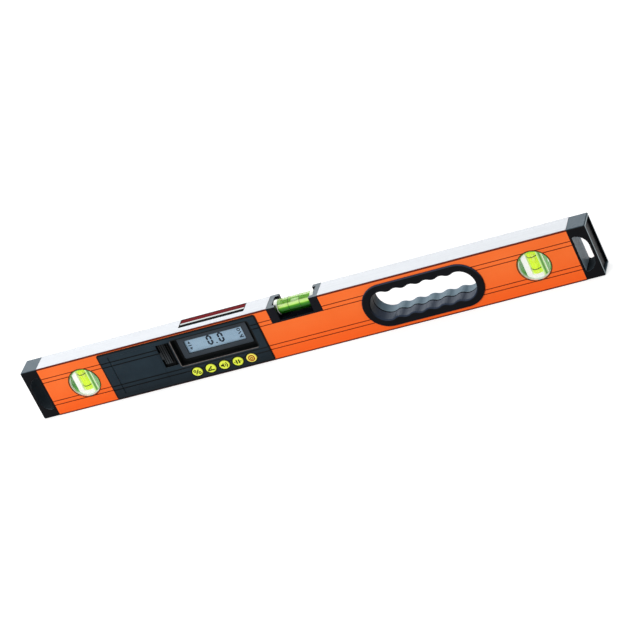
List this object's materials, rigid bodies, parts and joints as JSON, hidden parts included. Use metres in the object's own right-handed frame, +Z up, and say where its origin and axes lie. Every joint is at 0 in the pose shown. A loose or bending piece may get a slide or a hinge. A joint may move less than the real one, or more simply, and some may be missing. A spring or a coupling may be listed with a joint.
{
  "type": "digital spirit level",
  "caption": "Digital spirit level: orange box-section beam with a grooved hand hole, plumb and level vials, end caps with hang holes, and a recessed display module with buttons",
  "frame": {"origin": "under the middle of the level, on its lower measuring face", "axes": "+X runs along the level to the hand hole, -Y faces the viewer of the display, +Z is up"},
  "size_m": [0.6, 0.0276, 0.057],
  "materials": {
    "painted_beam": "orange paint on extruded aluminium, with bare milled measuring faces",
    "cap_plastic": "fine moulded texture",
    "grip_rubber": "soft satin moulding",
    "clear_cover": "clear polished acrylic",
    "white_plastic": "smooth white moulding",
    "vial_acrylic": "clear acrylic with yellow-green fluid",
    "line_black": "printed black",
    "air": "clear",
    "holder_plastic": "satin moulding",
    "module_plastic": "fine moulded texture",
    "bezel_plastic": "satin moulding",
    "tub_plastic": "plain moulding",
    "display_glass": "grey liquid crystal glass",
    "button_rubber": "smooth yellow rubber",
    "cell_jacket": "printed foil jacket",
    "contact_metal": "nickel plated",
    "screw_steel": "zinc plated",
    "board_laminate": "green solder mask",
    "chip_black": "moulded",
    "strip_rubber": "smooth",
    "light_guide": "frosted",
    "window_red": "dark red, polished",
    "window_white": "opal white, polished",
    "window_black": "satin moulding"
  },
  "bodies": {
    "level_body": {"beam": "painted_beam", "end_cap_left": "cap_plastic", "end_cap_right": "cap_plastic", "grip_front_half": "grip_rubber", "grip_rear_half": "grip_rubber", "level_holder": "holder_plastic", "level_vial": "vial_acrylic", "level_plugs": "white_plastic", "level_rings": "line_black", "fascia": "module_plastic", "module_housing": "tub_plastic", "battery_upper": "cell_jacket", "battery_lower": "cell_jacket", "battery_link_contact": "contact_metal", "battery_end_contacts": "contact_metal", "display_frame": "module_plastic", "display_bezel": "bezel_plastic", "display_window": "clear_cover", "lcd_panel": "display_glass", "backlight": "light_guide", "contact_strips": "strip_rubber", "circuit_board": "board_laminate", "tilt_sensor": "chip_black", "processor_chip": "chip_black", "buzzer": "chip_black", "key_switches": "chip_black", "board_screws": "screw_steel", "housing_screws": "screw_steel", "top_window_frame": "window_black", "top_window_lens": "window_red", "top_window_diffuser": "window_white", "plumb_left_front_lens": "clear_cover", "plumb_left_rear_lens": "clear_cover", "plumb_left_barrel": "clear_cover", "plumb_left_carrier": "white_plastic", "plumb_left_vial": "vial_acrylic", "plumb_left_plug": "white_plastic", "plumb_left_rings": "line_black", "plumb_right_front_lens": "clear_cover", "plumb_right_rear_lens": "clear_cover", "plumb_right_barrel": "clear_cover", "plumb_right_carrier": "white_plastic", "plumb_right_vial": "vial_acrylic", "plumb_right_plug": "white_plastic", "plumb_right_rings": "line_black"},
    "unit_button_body": {"unit_button": "button_rubber"},
    "reference_button_body": {"reference_button": "button_rubber"},
    "tone_button_body": {"tone_button": "button_rubber"},
    "hold_button_body": {"hold_button": "button_rubber"},
    "power_button_body": {"power_button": "button_rubber"},
    "battery_cover_body": {"battery_cover": "module_plastic"},
    "battery_latch_body": {"battery_latch": "module_plastic"},
    "level_bubble_body": {"level_bubble": "air"},
    "plumb_left_bubble_body": {"plumb_left_bubble": "air"},
    "plumb_right_bubble_body": {"plumb_right_bubble": "air"}
  },
  "joints": [
    {"name": "unit_button_press", "type": "slide", "parent": "level_body", "child": "unit_button_body", "axis": [0, 1, 0], "range_m": [0, 0.0008], "stiffness_N_per_m": 600},
    {"name": "reference_button_press", "type": "slide", "parent": "level_body", "child": "reference_button_body", "axis": [0, 1, 0], "range_m": [0, 0.0008], "stiffness_N_per_m": 600},
    {"name": "tone_button_press", "type": "slide", "parent": "level_body", "child": "tone_button_body", "axis": [0, 1, 0], "range_m": [0, 0.0008], "stiffness_N_per_m": 600},
    {"name": "hold_button_press", "type": "slide", "parent": "level_body", "child": "hold_button_body", "axis": [0, 1, 0], "range_m": [0, 0.0008], "stiffness_N_per_m": 600},
    {"name": "power_button_press", "type": "slide", "parent": "level_body", "child": "power_button_body", "axis": [0, 1, 0], "range_m": [0, 0.0008], "stiffness_N_per_m": 600},
    {"name": "battery_cover_hinge", "type": "hinge", "parent": "level_body", "child": "battery_cover_body", "pos_m": [-0.2026, -0.01205, 0.0284], "axis": [0, 0, -1], "range_deg": [0, 80]},
    {"name": "battery_latch_slide", "type": "slide", "parent": "level_body", "child": "battery_latch_body", "axis": [1, 0, 0], "range_m": [0, 0.003]},
    {"name": "level_bubble_drift", "type": "slide", "parent": "level_body", "child": "level_bubble_body", "axis": [1, 0, 0], "range_m": [-0.0105, 0.0105], "stiffness_N_per_m": 10},
    {"name": "plumb_left_bubble_drift", "type": "slide", "parent": "level_body", "child": "plumb_left_bubble_body", "axis": [0, 0, -1], "range_m": [0, 0.009], "stiffness_N_per_m": 40},
    {"name": "plumb_right_bubble_drift", "type": "slide", "parent": "level_body", "child": "plumb_right_bubble_body", "axis": [0, 0, -1], "range_m": [0, 0.009], "stiffness_N_per_m": 40}
  ]
}
